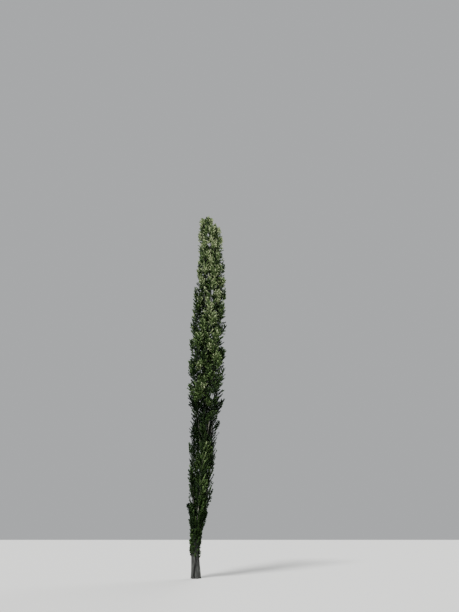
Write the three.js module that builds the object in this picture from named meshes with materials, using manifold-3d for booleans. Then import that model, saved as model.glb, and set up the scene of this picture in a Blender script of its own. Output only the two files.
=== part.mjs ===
// A Lombardy poplar, the narrow upright form of the black poplar.
// Millimetres, +Z up. The origin is the middle of the trunk's flat foot, at ground level.
// One trunk, gently bent near its foot, runs up through the whole crown. Steep boughs leave it in
// tiers, and each ends in an upright plume of foliage. Shoots clothe its foot, and a leader tops it.

import * as THREE from "three";
import { mergeVertices } from "three/addons/utils/BufferGeometryUtils.js";
import Module from "manifold-3d";

// Driving sizes of the tree
const treeHeight = 28000;
const trunkTop = 24600;
const trunkRadius = 180;
const trunkTipRadius = 20;
const trunkTaperPower = 0.85;
const trunkSides = 24;
const trunkSteps = 17;
const trunkStepPower = 1.9;
const flareRadius = 42;
const flareHeight = 520;
const fluteCount = 6;
const fluteTurn = 0.7;
const fluteDepth = 0.13;
const fluteHeight = 1500;
const leanAtTop = -850;
const leanPower = 6;
const swayReach = 55;
const swayTurns = 1.6;
const swayDepthShare = 0.6;
const footBend = -140;
const footBendHeight = 1500;

// The crown's half width from side to side at heights from its lowest leaves to its tip
const crownOutline = [
  [860, 280],
  [1900, 340],
  [2600, 650],
  [6000, 880],
  [8700, 1270],
  [13000, 1400],
  [21500, 1290],
  [26700, 1190],
  [27500, 1060],
  [28000, 760],
];
// How high the crown reaches at distances across from its middle: a head and a lower shoulder.
// Towards the front and back it falls with the square of the distance.
const crownTop = [
  [-1200, 26200],
  [-1000, 26900],
  [-600, 27650],
  [-300, 28000],
  [380, 28000],
  [560, 27350],
  [680, 26800],
  [1000, 26250],
  [1300, 25300],
];
const crownTopRound = 500;
const crownDepthShare = 1.12;
const crownWidest = 1400;

// Tiers of plumes: how many stand round the trunk, the heights where their stems start and end,
// and how far the boughs rise to them
const tiers = [
  { name: "low", count: 5, foot: 2700, top: 6850, rise: 1050 },
  { name: "waist", count: 5, foot: 7300, top: 13200, rise: 1900 },
  { name: "middle", count: 5, foot: 12000, top: 18000, rise: 1800 },
  { name: "high", count: 5, foot: 16900, top: 23000, rise: 1700 },
  { name: "top", count: 5, foot: 21800, top: 26500, rise: 1300 },
];
const topSlope = 450;
const topTierTipShare = 0.38;
const firstTurn = -Math.PI / 2;
const tierTurn = Math.PI / 5;
const turnJitter = 0.3;
const footJitter = 900;
const topJitter = 700;
const plumeFootShare = 0.5;
const plumeBowShare = 0.7;
const plumeBowHeights = [0.35, 0.7];
const plumeTopShare = 0.52;

// Leafy shoots that leave the trunk itself near the ground
const shoots = { count: 5, foot: 820, top: 2450, reach: 235, bow: 1.05, footStep: 60, bend: 240 };
const shootsIndex = 40;
const leaderIndex = 50;

// Limbs
const boughRootRadius = 58;
const boughTipRadius = 26;
const boughThinning = 0.45;
const boughTaperPower = 0.7;
const boughLeaving = { reach: 0.62, rise: 0.3 };
const boughArriving = 0.42;
const boughSides = 5;
const boughSteps = 4;

// Foliage: a stem that swells to a slim lumpy core of close leaves, twigs, and blades that stand for
// sprays. The blades' sizes and slants from upright are tried in turn until one fits its space.
const coreRadius = 210;
const slimmingPower = 0.6;
const coreLump = 0.2;
const lumpsRound = 3;
const lumpsAlong = 23;
const coreSides = 5;
const coreSteps = 7;
const coreSwellPower = 0.6;
const stemTipRadius = 14;
const leaderSink = 6;
const twigSlant = 0.7;
const twigSlantJitter = 0.12;
const twigTurnJitter = 0.3;
const twigRadius = 21;
const twigReach = 170;
const twigsPerMetre = 1.5;
const firstTwigShare = 0.4;
const goldenTurn = Math.PI * (3 - Math.sqrt(5));
const sprayLength = 1180;
const sprayWidth = 560;
const sprayThickness = 42;
const sprayBroadest = 0.42;
const sprayRollJitter = 1.1;
const spraySizes = [1, 0.84, 0.7];
const spraySlants = [0.48, 0.33, 0.17];
const sprayTurns = [0.45, -0.75];
const sprayRoots = [0.86, 0.66];
const topSlants = [0.02, 0.3, 0.3];
const topTurn = 2.1;
const tipSink = 140;
const tipSinkSteps = [1, 1.8, 2.6];
const spaceMargin = 18;
const stemPieces = 8;
const seedStart = 1000;
const seedStep = 17;

// Pieces that meet keep this gap, and corners closer than the weld distance are one
const gap = 0.3;
const weldDistance = 1e-3;

const wasm = await Module();
wasm.setup();

const up = new THREE.Vector3(0, 0, 1);

function solidOf(geometry) {
  const bare = geometry.clone();
  bare.deleteAttribute("normal");
  bare.deleteAttribute("uv");
  const merged = mergeVertices(bare, weldDistance);
  return new wasm.Manifold(
    new wasm.Mesh({
      numProp: 3,
      vertProperties: new Float32Array(merged.attributes.position.array),
      triVerts: new Uint32Array(merged.index.array),
    }),
  );
}

function geometryOf(solid) {
  const mesh = solid.getMesh();
  const geometry = new THREE.BufferGeometry();
  geometry.setAttribute("position", new THREE.BufferAttribute(mesh.vertProperties, 3));
  geometry.setIndex(new THREE.BufferAttribute(mesh.triVerts, 1));
  const faceted = geometry.toNonIndexed();
  faceted.computeVertexNormals();
  return faceted;
}

// The same numbers on every run, from 0 to 1
function seededNumbers(seed) {
  let state = seed;
  return () => {
    state = (state + 0x6d2b79f5) | 0;
    let mixed = Math.imul(state ^ (state >>> 15), 1 | state);
    mixed = (mixed + Math.imul(mixed ^ (mixed >>> 7), 61 | mixed)) ^ mixed;
    return ((mixed ^ (mixed >>> 14)) >>> 0) / 4294967296;
  };
}

// An even spread of numbers from -0.5 to 0.5, one for each whole number
function spread(index, salt) {
  return ((index * 0.618034 + salt * 0.754878) % 1) - 0.5;
}

// The value at a place between an outline's pairs of place and value
function between(outline, place) {
  const [first, last] = [outline[0], outline[outline.length - 1]];
  if (place <= first[0]) return first[1];
  if (place >= last[0]) return last[1];
  const next = outline.findIndex(([start]) => start > place);
  const [place0, value0] = outline[next - 1];
  const [place1, value1] = outline[next];
  return value0 + ((place - place0) / (place1 - place0)) * (value1 - value0);
}

function crownRadius(height) {
  return between(crownOutline, height);
}

// Cores, twigs and sprays are slimmer where the crown is narrow
function fullness(height) {
  return (crownRadius(height) / crownWidest) ** slimmingPower;
}

// The middle of the trunk, or of the crown above it, at a height
function trunkAxis(height) {
  const share = height / treeHeight;
  const sway = swayReach * Math.sin(share * swayTurns * 2 * Math.PI);
  const low = height / footBendHeight;
  const bend = footBend * (low * Math.exp(1 - low)) ** 2;
  const across = leanAtTop * share ** leanPower + sway + bend;
  return new THREE.Vector3(across, sway * swayDepthShare, height);
}

function outwards(turn) {
  return new THREE.Vector3(Math.cos(turn), crownDepthShare * Math.sin(turn), 0);
}

// A tapering limb: a cylinder whose sections are carried along a route.
// Sections stand square to the route, or level where flat is true. grow widens and lengthens it.
function limb({ route, radiusAt, sides, steps, pointed = false, flat = false, grow = 0 }) {
  const shape = new THREE.CylinderGeometry(pointed ? 0 : 1, 1, 1, sides, steps);
  const place = shape.attributes.position;
  for (let i = 0; i < place.count; i++) {
    const [x, y, z] = [place.getX(i), place.getY(i), place.getZ(i)];
    const along = y + 0.5;
    const turn = Math.atan2(z, x);
    const radius = Math.hypot(x, z) > 1e-6 ? radiusAt(along, turn) + grow : 0;
    const tangent = route.getTangent(along);
    const ahead = flat ? up : tangent;
    const side = new THREE.Vector3(1, 0, 0).addScaledVector(ahead, -ahead.x).normalize();
    const across = new THREE.Vector3().crossVectors(side, ahead);
    const point = route
      .getPoint(along)
      .addScaledVector(side, radius * Math.cos(turn))
      .addScaledVector(across, radius * Math.sin(turn));
    if (along > 0.9999) point.addScaledVector(tangent, grow);
    place.setXYZ(i, point.x, point.y, point.z);
  }
  return shape;
}

// The trunk's route gives more of its steps to the flare and flutes near the ground
class TrunkRoute extends THREE.Curve {
  getPoint(share) {
    return trunkAxis(trunkTop * share ** trunkStepPower);
  }
}

function trunkRadiusAt(height, turn) {
  const taper = Math.max(0, 1 - height / trunkTop) ** trunkTaperPower;
  const flare = flareRadius * Math.exp(-height / flareHeight);
  const flutes = fluteDepth * Math.exp(-height / fluteHeight) * Math.cos(fluteCount * turn + fluteTurn);
  return (trunkTipRadius + (trunkRadius - trunkTipRadius) * taper + flare) * (1 + flutes);
}

function trunkShape(grow = 0) {
  return limb({
    route: new TrunkRoute(),
    radiusAt: (along, turn) => trunkRadiusAt(trunkTop * along ** trunkStepPower, turn),
    sides: trunkSides,
    steps: trunkSteps,
    flat: true,
    grow,
  });
}

// Where each plume of a tier stands: its stem's route, from its foot near the trunk to its tip
function plumesOfTier(tier, level) {
  return Array.from({ length: tier.count }, (_, place) => {
    const index = level * tier.count + place;
    const evenTurn = firstTurn + (level % 2) * tierTurn + (place / tier.count) * 2 * Math.PI;
    const turn = evenTurn + turnJitter * spread(index, 1);
    const foot = tier.foot + footJitter * spread(index, 2);
    const atTop = tier.name === "top";
    const top = tier.top - (atTop ? topSlope * Math.cos(turn) : topJitter * spread(index, 3));
    const at = (share, apart) => {
      const height = foot + (top - foot) * share;
      return trunkAxis(height).addScaledVector(outwards(turn), apart * crownRadius(height));
    };
    const route = new THREE.CubicBezierCurve3(
      at(0, plumeFootShare),
      at(plumeBowHeights[0], plumeBowShare),
      at(plumeBowHeights[1], plumeBowShare),
      at(1, atTop ? topTierTipShare : plumeTopShare),
    );
    return { name: `${tier.name}_${place + 1}`, route, turn, foot, rise: tier.rise, index };
  });
}

function trunkShoots() {
  return Array.from({ length: shoots.count }, (_, place) => {
    const turn = (place / shoots.count) * 2 * Math.PI;
    const foot = shoots.foot + shoots.footStep * place;
    const top = shoots.top + shoots.footStep * place;
    const at = (height, apart) => trunkAxis(height).addScaledVector(outwards(turn), apart);
    const route = new THREE.CubicBezierCurve3(
      at(foot, 0),
      at(foot + shoots.bend, shoots.bow * shoots.reach),
      at((foot + top) / 2, shoots.reach),
      at(top, shoots.bow * shoots.reach),
    );
    return { name: `shoot_${place + 1}`, route, index: shootsIndex + place };
  });
}

function crownLeader() {
  const foot = trunkTop - leaderSink;
  const top = treeHeight - sprayLength * fullness(treeHeight - sprayLength) + tipSink;
  const points = [0, 1 / 3, 2 / 3, 1].map((share) => trunkAxis(foot + (top - foot) * share));
  return { name: "leader", route: new THREE.CubicBezierCurve3(...points), index: leaderIndex };
}

// A bough leaves the trunk at a slant and sweeps up to the foot of its plume
function boughRoute(plume) {
  const root = trunkAxis(plume.foot - plume.rise);
  const end = plume.route.getPoint(0);
  const reach = Math.hypot(end.x - root.x, end.y - root.y);
  const leave = root.clone();
  leave.addScaledVector(outwards(plume.turn), boughLeaving.reach * reach);
  leave.addScaledVector(up, boughLeaving.rise * plume.rise);
  const arrive = end.clone();
  arrive.addScaledVector(plume.route.getTangent(0), -boughArriving * plume.rise);
  return new THREE.CubicBezierCurve3(root, leave, arrive, end);
}

function boughShape(plume, grow = 0) {
  const thin = (1 - plume.foot / treeHeight) ** boughThinning;
  const atRoot = boughRootRadius * thin;
  return limb({
    route: boughRoute(plume),
    radiusAt: (along) => atRoot + (boughTipRadius - atRoot) * along ** boughTaperPower,
    sides: boughSides,
    steps: boughSteps,
    grow,
  });
}

// A spray of leaves, as one blade: broadest below its middle, and pointed at both ends
function sprayShape(root, ahead, broad, size) {
  const shape = new THREE.OctahedronGeometry(1);
  const place = shape.attributes.position;
  const flatways = new THREE.Vector3().crossVectors(broad, ahead);
  for (let i = 0; i < place.count; i++) {
    const [x, y, z] = [place.getX(i), place.getY(i), place.getZ(i)];
    const along = Math.abs(y) < 0.5 ? sprayBroadest : (y + 1) / 2;
    const point = root
      .clone()
      .addScaledVector(ahead, along * sprayLength * size)
      .addScaledVector(broad, (x * sprayWidth * size) / 2)
      .addScaledVector(flatways, (z * sprayThickness * size) / 2);
    place.setXYZ(i, point.x, point.y, point.z);
  }
  return shape;
}

function twigShape(route) {
  return limb({
    route,
    radiusAt: (along) => twigRadius * (1 - along),
    sides: 3,
    steps: 1,
    pointed: true,
  });
}

// The stem swells to its core with the crown's width, only as far as the next stem leaves room
function coreReach(plume, plumes, along) {
  const point = plume.route.getPoint(along);
  const others = plumes.filter((other) => other !== plume);
  const room = Math.min(...others.map((other) => distanceToStem(point, other))) / 2 - spaceMargin;
  const swell = Math.sin(Math.PI * along) ** coreSwellPower;
  const full = coreRadius * fullness(point.z) * swell;
  return Math.max(0, Math.min(full, room / (1 + coreLump) - boughTipRadius));
}

function stemShape(plume, plumes) {
  const start = plume.name === "leader" ? trunkTipRadius : boughTipRadius;
  return limb({
    route: plume.route,
    radiusAt: (along, turn) => {
      const lumps = 1 + coreLump * Math.sin(lumpsRound * turn + lumpsAlong * along + plume.index);
      return start + (stemTipRadius - start) * along + coreReach(plume, plumes, along) * lumps;
    },
    sides: coreSides,
    steps: coreSteps,
  });
}

function pointsOf(geometry) {
  const place = geometry.attributes.position;
  return Array.from({ length: place.count }, (_, i) => {
    return new THREE.Vector3().fromBufferAttribute(place, i);
  });
}

function distanceToStem(point, plume) {
  const nearest = new THREE.Vector3();
  return Math.min(
    ...plume.lines.map((line) => {
      line.closestPointToPoint(point, true, nearest);
      return nearest.distanceTo(point);
    }),
  );
}

// A plume's space is the part of the crown that lies nearer to its own stem than to any other
function inSpace(point, plume, plumes) {
  const middle = trunkAxis(point.z);
  const fall = (point.y - middle.y) ** 2 / crownTopRound;
  const highest = between(crownTop, point.x - middle.x) - fall;
  if (point.z > highest + 1 || point.z < crownOutline[0][0]) return false;
  const apart = Math.hypot(point.x - middle.x, (point.y - middle.y) / crownDepthShare);
  if (apart > crownRadius(point.z)) return false;
  const own = distanceToStem(point, plume);
  return plumes.every((other) => {
    return other === plume || distanceToStem(point, other) > own + spaceMargin;
  });
}

function largestOf(solid) {
  const bodies = solid.decompose();
  return bodies.reduce((best, body) => (body.volume() > best.volume() ? body : best));
}

// The direction that leans out from upright by a slant, towards a turn
function leaning(turn, slant) {
  return new THREE.Vector3(
    Math.cos(turn) * Math.sin(slant),
    Math.sin(turn) * Math.sin(slant),
    Math.cos(slant),
  );
}

// The largest and widest leaning blade that fits in its plume's space clear of the limbs, or nothing
function fittingSpray(plume, plumes, limbs, root, turn, slants, roll) {
  for (const share of spraySizes) {
    const size = share * fullness(root.z);
    for (const slant of slants) {
      const ahead = leaning(turn, slant);
      const broad = new THREE.Vector3(-Math.sin(turn), Math.cos(turn), 0).applyAxisAngle(ahead, roll);
      const shape = sprayShape(root, ahead, broad, size);
      if (pointsOf(shape).every((point) => inSpace(point, plume, plumes))) {
        const solid = solidOf(shape);
        if (solid.intersect(limbs).isEmpty()) return solid;
      }
    }
  }
  return null;
}

// Foliage on one stem: twigs round it by the golden angle, each with a spray to either side
function plumeSolid(plume, plumes, limbs) {
  const random = seededNumbers(seedStart + seedStep * plume.index);
  const jitter = (size) => size * (2 * random() - 1);
  const twigCount = Math.round((plume.route.getLength() / 1000) * twigsPerMetre);
  const parts = [largestOf(solidOf(stemShape(plume, plumes)).subtract(limbs))];
  for (let i = 0; i < twigCount; i++) {
    const share = (i + firstTwigShare) / twigCount;
    const turn = i * goldenTurn + plume.index + jitter(twigTurnJitter);
    const slant = twigSlant + jitter(twigSlantJitter);
    const root = plume.route.getPoint(share);
    const beyond = twigReach * fullness(root.z);
    const reach = (coreReach(plume, plumes, share) + beyond) / Math.sin(slant);
    const tip = root.clone().addScaledVector(leaning(turn, slant), reach);
    const rolls = sprayTurns.map(() => jitter(sprayRollJitter));
    const twig = solidOf(twigShape(new THREE.LineCurve3(root, tip)));
    if (!inSpace(tip, plume, plumes) || !twig.intersect(limbs).isEmpty()) continue;
    parts.push(twig);
    sprayTurns.forEach((angle, k) => {
      const from = root.clone().lerp(tip, sprayRoots[k]);
      const spray = fittingSpray(plume, plumes, limbs, from, turn + angle, spraySlants, rolls[k]);
      if (spray) parts.push(spray);
    });
  }
  parts.push(...topSprays(plume, plumes, limbs, jitter));
  return largestOf(wasm.Manifold.union(parts));
}

// The steep sprays at a stem's tip, of which the first stands upright
function topSprays(plume, plumes, limbs, jitter) {
  const tip = plume.route.getPoint(1);
  return topSlants.flatMap((slant, i) => {
    const turn = i * topTurn + plume.index + jitter(twigTurnJitter);
    const from = tip.clone().addScaledVector(up, -tipSink * tipSinkSteps[i]);
    return fittingSpray(plume, plumes, limbs, from, turn, [slant], jitter(sprayRollJitter)) ?? [];
  });
}

// Colours of the bark and leaves in daylight, and how dull they are
const bark = { color: 0x6f706b, roughness: 0.95 };
const boughBark = { color: 0x77766c, roughness: 0.9 };
const leaves = { color: 0x43572c, roughness: 0.6 };

function named(name, solid, look) {
  const material = new THREE.MeshStandardMaterial({ ...look, metalness: 0 });
  const mesh = new THREE.Mesh(geometryOf(solid), material);
  mesh.name = name;
  return mesh;
}

function buildTree() {
  const tree = new THREE.Group();
  const tierPlumes = tiers.flatMap(plumesOfTier);
  const plumes = [...trunkShoots(), ...tierPlumes, crownLeader()];
  plumes.forEach((plume) => {
    const points = plume.route.getPoints(stemPieces);
    plume.lines = points.slice(1).map((point, i) => new THREE.Line3(points[i], point));
  });

  const trunk = solidOf(trunkShape());
  const grownTrunk = solidOf(trunkShape(gap));
  tree.add(named("trunk", trunk, bark));
  tierPlumes.forEach((plume) => {
    const bough = largestOf(solidOf(boughShape(plume)).subtract(grownTrunk));
    tree.add(named(`bough_${plume.name}`, bough, boughBark));
  });

  const grownBoughs = tierPlumes.map((plume) => solidOf(boughShape(plume, gap)));
  const limbs = wasm.Manifold.union([grownTrunk, ...grownBoughs]);
  plumes.forEach((plume) => {
    const foliage = plumeSolid(plume, plumes, limbs);
    tree.add(named(`foliage_${plume.name}`, foliage, leaves));
  });
  return tree;
}

export default buildTree();
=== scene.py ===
# A Lombardy poplar's living surface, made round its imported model: fissured bark on the trunk,
# smoother bark on the boughs, plumes of fine twigs with many thousand leaves, a pale floor, soft
# light and the camera.
# Metres, +Z up. The origin is the middle of the trunk's flat foot, at ground level.
# The foliage grows by the part's own rule, written again here and carried to finer twigs.

import math
from dataclasses import dataclass

import bpy
import numpy as np
from bpy.props import FloatProperty, FloatVectorProperty, IntProperty, PointerProperty
from bpy.types import Operator, Panel, PropertyGroup
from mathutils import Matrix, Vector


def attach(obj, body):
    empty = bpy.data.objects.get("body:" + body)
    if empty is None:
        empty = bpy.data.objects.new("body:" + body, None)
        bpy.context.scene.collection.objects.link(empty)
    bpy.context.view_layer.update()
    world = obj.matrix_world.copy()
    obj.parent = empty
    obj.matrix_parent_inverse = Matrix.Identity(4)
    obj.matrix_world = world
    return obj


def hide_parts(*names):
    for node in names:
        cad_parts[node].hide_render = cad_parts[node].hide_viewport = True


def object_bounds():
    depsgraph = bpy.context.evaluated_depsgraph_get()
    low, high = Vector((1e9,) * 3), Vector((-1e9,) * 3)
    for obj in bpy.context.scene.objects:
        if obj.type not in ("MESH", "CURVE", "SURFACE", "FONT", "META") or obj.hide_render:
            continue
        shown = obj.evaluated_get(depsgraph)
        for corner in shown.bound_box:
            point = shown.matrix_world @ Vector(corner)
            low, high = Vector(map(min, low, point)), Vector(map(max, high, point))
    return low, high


bl_info = {
    "name": "Lombardy poplar",
    "version": (1, 0, 0),
    "blender": (4, 5, 0),
    "location": "3D View > Sidebar > Poplar",
    "description": "Bark, twigs, leaves, stage and camera for a Lombardy poplar",
    "category": "Object",
}

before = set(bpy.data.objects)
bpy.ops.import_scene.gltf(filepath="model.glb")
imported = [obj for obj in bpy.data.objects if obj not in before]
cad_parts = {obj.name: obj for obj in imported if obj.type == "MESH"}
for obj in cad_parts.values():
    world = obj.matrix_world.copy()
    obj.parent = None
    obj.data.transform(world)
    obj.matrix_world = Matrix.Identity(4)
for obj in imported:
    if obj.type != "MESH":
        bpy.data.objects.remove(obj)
CAD_LOW, CAD_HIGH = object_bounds()
NODES = sorted(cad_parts)

# The trunk, as the part has it
TREE_HEIGHT = 28.0
TRUNK_TOP = 24.6
TRUNK_RADIUS = 0.18
TRUNK_TIP_RADIUS = 0.02
TRUNK_TAPER_POWER = 0.85
FLARE_RADIUS = 0.042
FLARE_HEIGHT = 0.52
FLUTE_COUNT = 6
FLUTE_TURN = 0.7
FLUTE_DEPTH = 0.13
FLUTE_HEIGHT = 1.5
LEAN_AT_TOP = -0.85
LEAN_POWER = 6
SWAY_REACH = 0.055
SWAY_TURNS = 1.6
SWAY_DEPTH_SHARE = 0.6
FOOT_BEND = -0.14
FOOT_BEND_HEIGHT = 1.5

# The crown's half width from side to side, at heights from its foot to its tip
CROWN_HEIGHTS = (0.86, 1.9, 2.6, 6.0, 8.7, 13.0, 21.5, 26.7, 27.5, 28.0)
CROWN_RADII = (0.28, 0.34, 0.65, 0.88, 1.27, 1.4, 1.29, 1.19, 1.06, 0.76)
CROWN_DEPTH_SHARE = 1.12

# How high the crown reaches at distances across from its middle: a head and a lower shoulder.
# Towards the front and back it falls with the square of the distance.
CROWN_TOP_ACROSS = (-1.2, -1.0, -0.6, -0.3, 0.38, 0.56, 0.68, 1.0, 1.3)
CROWN_TOP_HEIGHTS = (26.2, 26.9, 27.65, 28.0, 28.0, 27.35, 26.8, 26.25, 25.3)
CROWN_TOP_ROUND = 0.5
CROWN_TOP_SLACK = 0.001
CROWN_WIDEST = 1.4
SLIMMING_POWER = 0.6

# Tiers of plumes: name, count, heights where the stems start and end, and the boughs' rise
TIERS = (
    ("low", 5, 2.7, 6.85, 1.05),
    ("waist", 5, 7.3, 13.2, 1.9),
    ("middle", 5, 12.0, 18.0, 1.8),
    ("high", 5, 16.9, 23.0, 1.7),
    ("top", 5, 21.8, 26.5, 1.3),
)
TOP_SLOPE = 0.45
TOP_TIER_TIP_SHARE = 0.38
FIRST_TURN = -math.pi / 2
TIER_TURN = math.pi / 5
TURN_JITTER = 0.3
FOOT_JITTER = 0.9
TOP_JITTER = 0.7
PLUME_FOOT_SHARE = 0.5
PLUME_BOW_SHARE = 0.7
PLUME_BOW_HEIGHTS = (0.35, 0.7)
PLUME_TOP_SHARE = 0.52
SHOOT_COUNT = 5
SHOOT_FOOT = 0.82
SHOOT_TOP = 2.45
SHOOT_REACH = 0.235
SHOOT_BOW = 1.05
SHOOT_FOOT_STEP = 0.06
SHOOT_BEND = 0.24
SHOOTS_INDEX = 40
LEADER_INDEX = 50

# Limbs
BOUGH_ROOT_RADIUS = 0.058
BOUGH_TIP_RADIUS = 0.026
BOUGH_THINNING = 0.45
BOUGH_TAPER_POWER = 0.7
BOUGH_LEAVING_REACH = 0.62
BOUGH_LEAVING_RISE = 0.3
BOUGH_ARRIVING = 0.42

# Cores, twigs and sprays
CORE_RADIUS = 0.21
CORE_SWELL_POWER = 0.6
CORE_LUMP = 0.2
TWIG_SLANT = 0.7
TWIG_SLANT_JITTER = 0.12
TWIG_TURN_JITTER = 0.3
TWIG_REACH = 0.17
TWIGS_PER_METRE = 1.5
FIRST_TWIG_SHARE = 0.4
GOLDEN_TURN = math.pi * (3 - math.sqrt(5))
SPRAY_LENGTH = 1.18
SPRAY_WIDTH = 0.56
SPRAY_BROADEST = 0.42
SPRAY_ROLL_JITTER = 1.1
SPRAY_SIZES = (1, 0.84, 0.7)
SPRAY_SLANTS = (0.48, 0.33, 0.17)
SPRAY_TURNS = (0.45, -0.75)
SPRAY_ROOTS = (0.86, 0.66)
TOP_SLANTS = (0.02, 0.3, 0.3)
TOP_TURN = 2.1
TIP_SINK = 0.14
TIP_SINK_STEPS = (1, 1.8, 2.6)
SPACE_MARGIN = 0.018
STEM_PIECES = 8
SEED_START = 1000
SEED_STEP = 17

# The finer twigs, which only this file has
TWIGLETS_PER_SPRAY = 16
TWIGLET_REACH = 0.33
SIDE_TWIG_STEP = 0.06
SIDE_TWIG_REACH = 0.62
LEADER_TWIG_STEP = 0.035
LEADER_TWIG_REACH = 0.95
SIDE_TWIG_SHORTEST = 0.05
SIDE_TWIG_TESTS = 14
SIDE_TWIG_CROSSING = 0.14
LEADER_TWIG_CROSSING = 0.5
BOUGH_TWIG_STEP = 0.09
BOUGH_TWIGS_FROM = 0.25
TRUNK_TWIG_STEP = 0.045
TRUNK_TWIGS_FROM = 0.7
LEAVES_HANG_TO = 0.68
SHOOT_TWIG_STEP = 0.016
INNER_TWIG_REACH = 0.65
TOP_INNER_TWIG_REACH = 0.85
WIDE_INNER_LEVEL = 3
INNER_LEAF_SIZE = 1.15
TWIG_SLANT_HEIGHTS = (1.0, 5.5, 8.0)
TWIG_SLANTS_AT_HEIGHTS = (0.5, 0.6, 0.9)

# Where the free space along a bough and along a spray is tested
BOUGH_TEST_SHARES = np.linspace(0.1, 1, 12)
SPRAY_TEST_SHARES = np.linspace(0.1, 1, 6)

# Stems and twigs
STEM_POINTS = 14
STEM_TIP_RADIUS = 0.006
STEM_TAPER_POWER = 0.8
TWIG_RADII = (0.012, 0.009, 0.006)
TWIG_SAG = 0.03

# A spray's axis and its twiglets: where they stand, how they lean, how long they are and their bow
SPRAY_HEART = 0.5
SPRAY_RADII = (0.006, 0.004, 0.0012)
SPRAY_SAG = 0.03
SPRAY_FLATNESS = 0.75
TWIGLETS_FROM = 0.1
TWIGLETS_ALONG = 0.78
TWIGLET_STEP_SPREAD = 0.5
TWIGLET_RADII = (0.0032, 0.0022, 0.0008)
TWIGLET_FIRST_TURNS = 6.28
TWIGLET_SLANT = 1.1
TWIGLET_SLANT_FALL = 0.4
TWIGLET_SLANT_SPREAD = 0.2
TWIGLET_SWELL_FROM = 0.16
TWIGLET_SWELL_ALONG = 0.78
TWIGLET_SWELL_POWER = 0.8
TWIGLET_SHORTEST = 0.8
TWIGLET_LENGTH_SPREAD = 0.4
TWIGLET_RISE = 0.08
TWIGLET_BOW = 0.06
TWIGLET_SAG = 0.3

# Leafy twigs along stems, boughs and the trunk
LEAFY_TWIG_RADII = (0.005, 0.003, 0.001)
LEAFY_TWIG_SLANT_SPREAD = 0.4
LEAFY_TWIG_SHORTEST = 0.6
LEAFY_TWIG_LENGTH_SPREAD = 0.4
LEAFY_TWIG_SAG = 0.05

# Where the seeds of each kind of growth start
SPRAY_SEED_START = 7000
SPRAY_SEED_STEP = 31
TUFT_SEED_START = 8000
TRUNK_TWIG_SEED_START = 9000

# Where the camera stands
EYE = (1.55, -18.2, 1.5)

# Openings among the leaves as they show from in front, each given where it lies against the upright
# plane through the trunk: across, height, half width, half height, and how far back it goes
OPENINGS = (
    (-0.6, 25.0, 0.1, 0.3, 2.0),
    (-0.37, 23.5, 0.1, 0.3, 2.0),
    (0.1, 17.45, 0.11, 0.32, 2.0),
    (0.07, 16.65, 0.12, 0.3, 2.0),
    (0.46, 8.55, 0.12, 0.2, 2.0),
    (0.43, 6.6, 0.23, 0.5, -0.1),
)
OPENING_WANDER = 0.05
OPENING_WAVES = 9

# Painted light in tufts in the sun, and painted shade in hollows, on the crown's front: across,
# height, half width, half height, and how many tints lighter or darker their leaves are
TUFTS = (
    (-0.3, 23.0, 0.35, 0.7, 1.7),
    (-0.75, 24.0, 0.3, 0.5, 0.8),
    (-0.85, 21.5, 0.3, 0.6, 1.6),
    (-0.75, 18.1, 0.3, 0.5, 2.0),
    (0.42, 18.0, 0.42, 1.0, 3.2),
    (0.68, 16.9, 0.38, 0.8, 2.3),
    (0.15, 15.2, 0.3, 0.5, 1.4),
    (0.62, 12.9, 0.4, 0.8, 2.0),
    (0.0, 11.9, 0.3, 0.45, 0.4),
    (0.65, 11.2, 0.35, 0.4, 1.4),
    (-0.25, 10.6, 0.3, 0.4, 0.2),
    (-0.05, 9.15, 0.32, 0.7, 2.7),
    (-0.4, 8.5, 0.2, 0.35, 1.0),
    (0.2, 8.0, 0.3, 0.35, 2.0),
    (0.62, 7.35, 0.3, 0.35, 2.2),
    (0.0, 6.6, 0.15, 0.4, 1.2),
    (0.28, 4.9, 0.14, 1.3, 1.6),
    (0.15, 3.0, 0.16, 0.7, 1.2),
    (-0.1, 24.8, 0.25, 0.5, -0.8),
    (-1.1, 23.4, 0.3, 0.6, -1.2),
    (0.25, 22.4, 0.35, 0.5, -1.4),
    (0.75, 19.3, 0.35, 0.7, -2.4),
    (-1.0, 16.6, 0.3, 0.7, -1.6),
    (-0.95, 13.8, 0.35, 0.9, -2.6),
    (0.4, 11.8, 0.3, 0.35, -1.4),
    (0.25, 10.1, 0.3, 0.4, -2.2),
    (-0.75, 9.5, 0.35, 0.9, -1.8),
    (-0.45, 5.7, 0.25, 0.6, -1.2),
    (-0.45, 2.7, 0.25, 0.5, -1.4),
)
TUFT_SETBACK = 0.85
TUFT_HALF_DEPTH = 0.7
TUFT_FULLNESS = 1.6
TUFT_SPRAYS = 3
TUFT_ROOT_DROP = 0.6
TUFT_SPREAD = 0.7
TUFT_ROOT_SHARES = np.linspace(0.05, 0.95, 24)

# The leaves' tints, from 0, the deepest, and how they are dealt out to sprays, partly as painted
# light and painted shade
TINT_NAMES = ("deepest", "deep", "shaded", "dusky", "green", "fresh", "bright", "pale")
TINT_COUNT = len(TINT_NAMES)
# Tints by height: painted shade low in the crown, painted light towards its top
TINT_HEIGHTS = (1.0, 2.0, 3.0, 5.5, 7.0, 9.0, 14.0, 20.0, 25.0, 28.0)
TINTS_AT_HEIGHTS = (2.9, 2.2, 2.0, 2.7, 0.8, 3.5, 3.9, 4.4, 4.9, 5.3)
# Painted light on the crown's outside and painted shade inside it, by how far out a leaf lies
TINT_OUTWARDS = 2.2
TINT_OUTWARDS_FROM = 0.7
TINT_WAVES = 0.9
TINT_WAVES_UP = 6.6
TINT_WAVE_STEP = 2.4
LIVELY_HEIGHTS = (1.0, 6.0, 9.0, 14.0, 17.0, 21.0, 24.0, 28.0)
LIVELINESS = (0.3, 0.4, 0.9, 1.15, 1.5, 1.6, 1.45, 1.3)
TINT_STREAKS = 1.1
STREAKS_ROUND = 13
STREAK_HEIGHTS = (1.0, 6.0, 8.0)
STREAK_SHARES = (1, 1, 0)
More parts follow.
